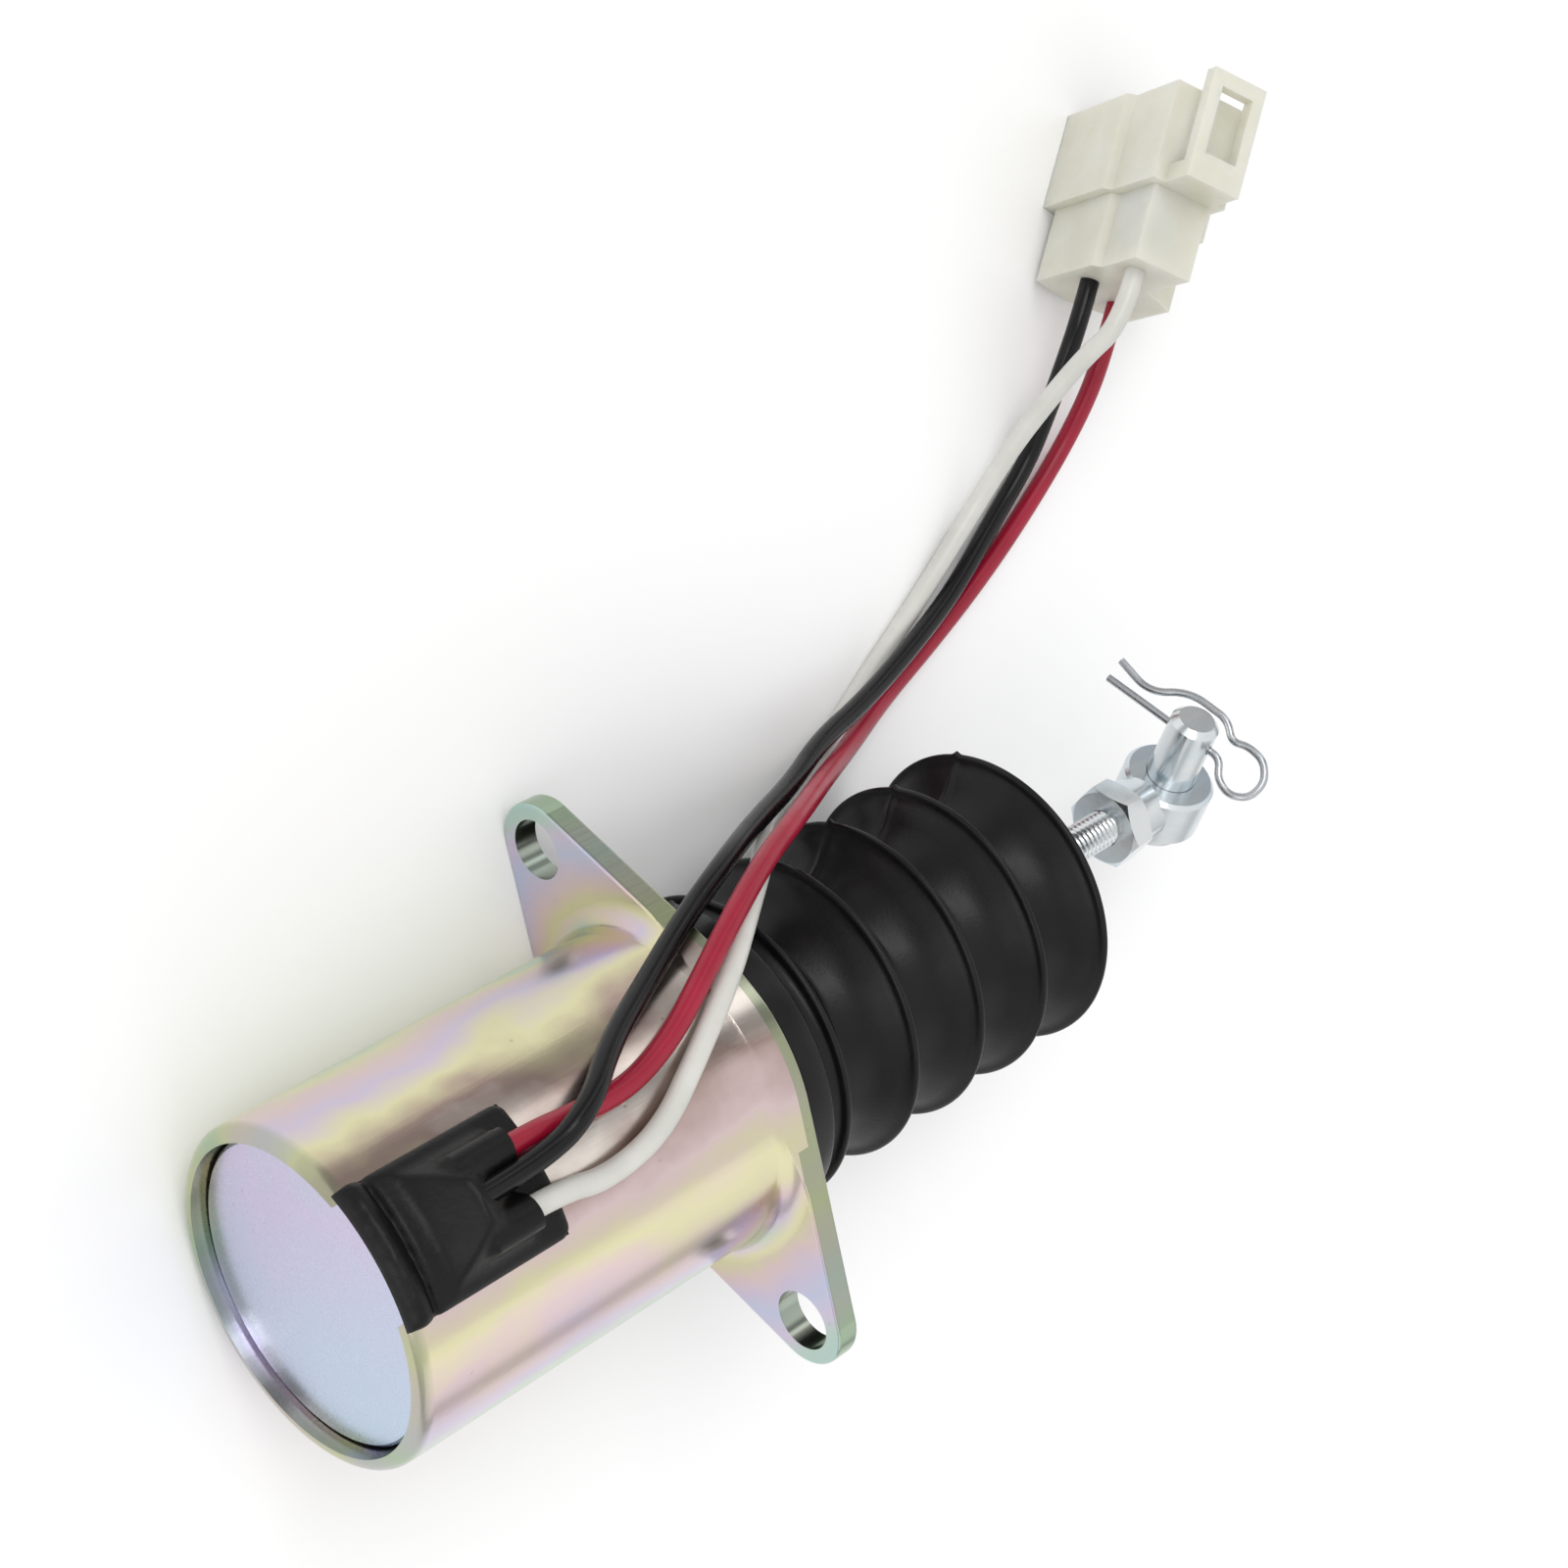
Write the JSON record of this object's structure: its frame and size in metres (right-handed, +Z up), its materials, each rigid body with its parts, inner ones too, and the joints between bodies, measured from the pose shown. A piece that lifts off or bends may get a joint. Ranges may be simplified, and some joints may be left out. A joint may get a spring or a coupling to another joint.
{
  "type": "fuel shutoff solenoid",
  "caption": "Cylindrical pull solenoid with an eared mounting flange, rubber bellows, threaded rod with an eye and clevis pin, and a wired plug lead.",
  "frame": {"origin": "centre of the flange's outer face, midway between the bolt holes", "axes": "+X along the plunger, out of the can towards the rod end; +Z up as it lies on the straight edge of its flange"},
  "size_m": [0.1785, 0.1195, 0.0424],
  "materials": {
    "zinc_chromate": "iridescent yellow zinc plating",
    "zinc_blue": "blue-bright zinc plating",
    "bright_zinc": "bright zinc plating",
    "plain_steel": "machined steel",
    "spring_steel": "drawn wire",
    "black_rubber": "moulded, satin",
    "bobbin_nylon": "moulded",
    "magnet_wire": "enamelled copper winding",
    "tape": "polyester tape",
    "brass_tube": "drawn tube",
    "tinned_brass": "tin plated",
    "insulation_black": "glossy insulation",
    "insulation_red": "glossy insulation",
    "insulation_white": "glossy insulation",
    "connector_nylon": "translucent natural nylon"
  },
  "bodies": {
    "can_assembly": {"housing": "zinc_chromate", "end_disc": "zinc_blue", "gland": "black_rubber", "bobbin": "bobbin_nylon", "pull_winding": "magnet_wire", "hold_winding": "magnet_wire", "coil_wrap": "tape", "pole_piece": "plain_steel", "guide_tube": "brass_tube", "front_plate": "plain_steel", "return_spring": "spring_steel", "boot": "black_rubber", "wire_black": "insulation_black", "wire_red": "insulation_red", "wire_white": "insulation_white", "connector_housing": "connector_nylon", "terminal_black": "tinned_brass", "terminal_red": "tinned_brass", "terminal_white": "tinned_brass"},
    "plunger_assembly": {"plunger": "plain_steel", "plunger_rod": "bright_zinc", "jam_nut": "bright_zinc", "rod_end": "bright_zinc"},
    "pin_assembly": {"linkage_pin": "bright_zinc", "hairpin_clip": "spring_steel"}
  },
  "joints": [
    {"name": "plunger_slide", "type": "slide", "parent": "can_assembly", "child": "plunger_assembly", "axis": [-1, 0, 0], "range_m": [0, 0.0254], "stiffness_N_per_m": 200, "springref_m": -0.03, "deforming": ["return_spring", "boot"]},
    {"name": "pin_turn", "type": "hinge", "parent": "plunger_assembly", "child": "pin_assembly", "pos_m": [0.0852, 0, 0], "axis": [0, 0.8111, 0.585], "continuous": true}
  ]
}
